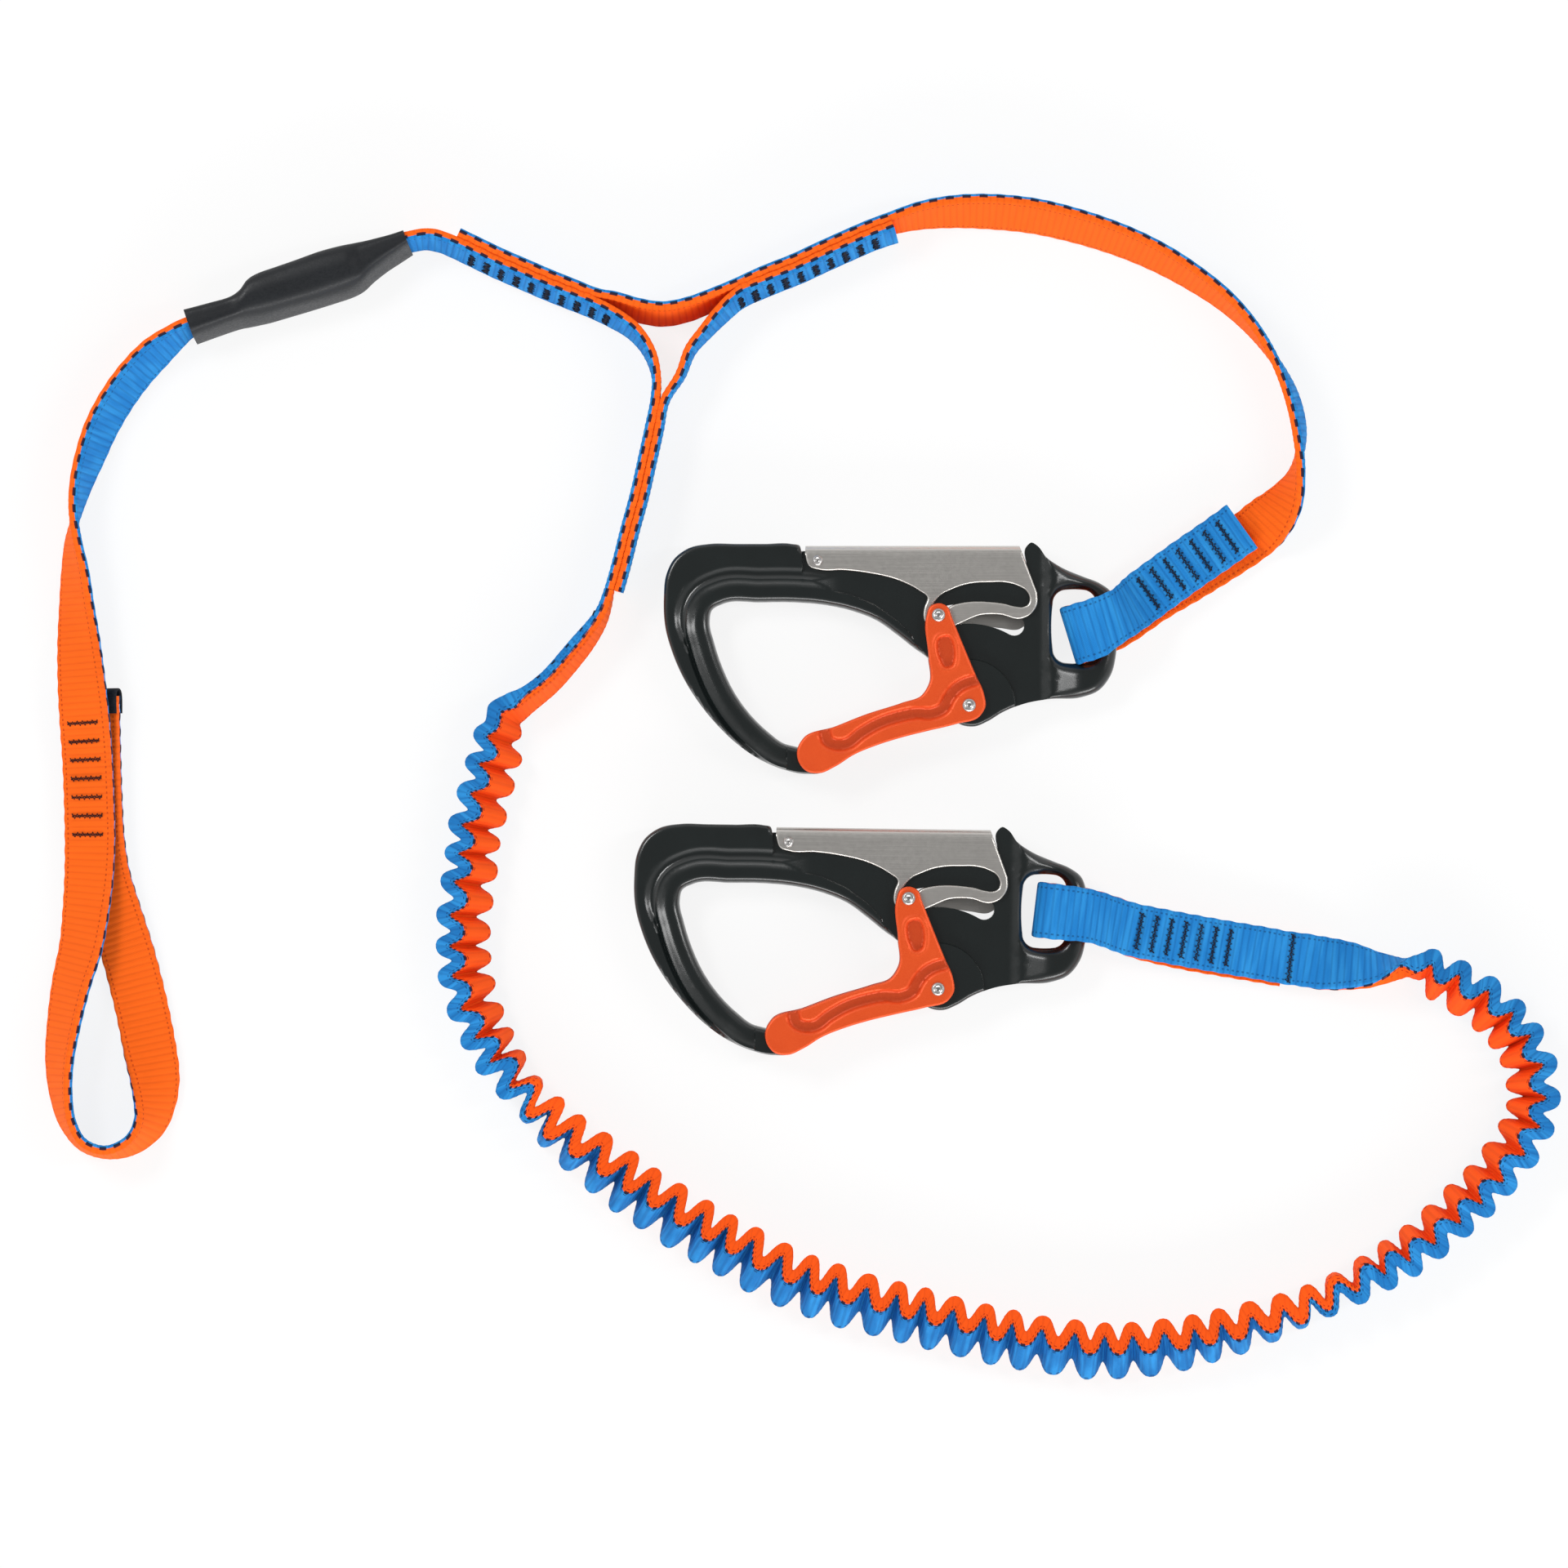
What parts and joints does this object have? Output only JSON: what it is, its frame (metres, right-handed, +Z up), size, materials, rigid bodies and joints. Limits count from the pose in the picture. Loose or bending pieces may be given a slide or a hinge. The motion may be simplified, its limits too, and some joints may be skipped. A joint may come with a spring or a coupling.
{
  "type": "elastic safety tether",
  "caption": "Y-shaped safety tether with a short webbing leg and a gathered elastic leg, each ending in a two-action clip, and a sewn hand loop with an overload sleeve.",
  "frame": {"origin": "on the surface the tether lies on, under the middle of the two clips", "axes": "+Z up out of the surface, +X along the clips from hook to eye, +Y from the long leg's clip to the short leg's clip"},
  "size_m": [0.4383, 0.339, 0.0182],
  "materials": {
    "body_anodised": "gloss black anodised forging",
    "plate_steel": "satin pressed steel",
    "gate_anodised": "satin orange anodised",
    "pin_steel": "bright riveted steel",
    "spring_steel": "bright spring wire",
    "webbing_orange": "woven webbing, orange face and blue face",
    "webbing_blue": "woven webbing, blue face and orange face",
    "elastic": "woven-over rubber band",
    "sleeve": "semi-matte charcoal shrink tube",
    "thread": "near-black bonded thread",
    "end_tape": "black end tape"
  },
  "bodies": {
    "tether": {"hand_loop_webbing": "webbing_orange", "short_leg_webbing": "webbing_blue", "bridge_webbing": "webbing_blue", "elastic_leg_webbing": "webbing_orange", "elastic_core": "elastic", "overload_sleeve": "sleeve", "hand_loop_bar_tack": "thread", "left_arm_bar_tack": "thread", "right_arm_bar_tack": "thread", "clip_a_bar_tack": "thread", "clip_b_bar_tack": "thread", "elastic_inner_anchor_tack": "thread", "elastic_outer_anchor_tack": "thread", "hand_loop_end_tab": "end_tape"},
    "clip_a": {"clip_a_body": "body_anodised", "clip_a_gate_pivot": "pin_steel", "clip_a_plate_pivot": "pin_steel", "clip_a_gate_spring": "spring_steel", "clip_a_lock_spring": "spring_steel"},
    "clip_a_gate_lever": {"clip_a_gate": "gate_anodised", "clip_a_lock_pin": "pin_steel"},
    "clip_a_lock": {"clip_a_lock_plate": "plate_steel"},
    "clip_b": {"clip_b_body": "body_anodised", "clip_b_gate_pivot": "pin_steel", "clip_b_plate_pivot": "pin_steel", "clip_b_gate_spring": "spring_steel", "clip_b_lock_spring": "spring_steel"},
    "clip_b_gate_lever": {"clip_b_gate": "gate_anodised", "clip_b_lock_pin": "pin_steel"},
    "clip_b_lock": {"clip_b_lock_plate": "plate_steel"}
  },
  "joints": [
    {"name": "clip_a_swing", "type": "hinge", "parent": "tether", "child": "clip_a", "pos_m": [0.06635, 0.04957, 0.008], "axis": [0, 1, 0], "range_deg": [-60, 60]},
    {"name": "clip_a_gate_open", "type": "hinge", "parent": "clip_a", "child": "clip_a_gate_lever", "pos_m": [0.02685, 0.02687, 0.008], "axis": [0, 0, -1], "range_deg": [0, 45], "stiffness_Nm_per_rad": 0.06, "springref_deg": -34.38},
    {"name": "clip_a_lock_lift", "type": "hinge", "parent": "clip_a", "child": "clip_a_lock", "pos_m": [-0.01665, 0.06847, 0.008], "axis": [0, 0, -1], "range_deg": [0, 8], "stiffness_Nm_per_rad": 0.05, "springref_deg": -17.19},
    {"name": "clip_b_swing", "type": "hinge", "parent": "tether", "child": "clip_b", "pos_m": [0.05772, -0.03247, 0.008], "axis": [0.014, 0.9999, 0], "range_deg": [-60, 60]},
    {"name": "clip_b_gate_open", "type": "hinge", "parent": "clip_b", "child": "clip_b_gate_lever", "pos_m": [0.01791, -0.05462, 0.008], "axis": [0, 0, -1], "range_deg": [0, 45], "stiffness_Nm_per_rad": 0.06, "springref_deg": -34.38},
    {"name": "clip_b_lock_lift", "type": "hinge", "parent": "clip_b", "child": "clip_b_lock", "pos_m": [-0.02501, -0.01241, 0.008], "axis": [0, 0, -1], "range_deg": [0, 8], "stiffness_Nm_per_rad": 0.05, "springref_deg": -17.19}
  ],
  "couplings": [
    {"joint": "clip_a_lock_lift", "follows": "clip_a_gate_open", "ratio": 0.17778},
    {"joint": "clip_b_lock_lift", "follows": "clip_b_gate_open", "ratio": 0.17778}
  ]
}
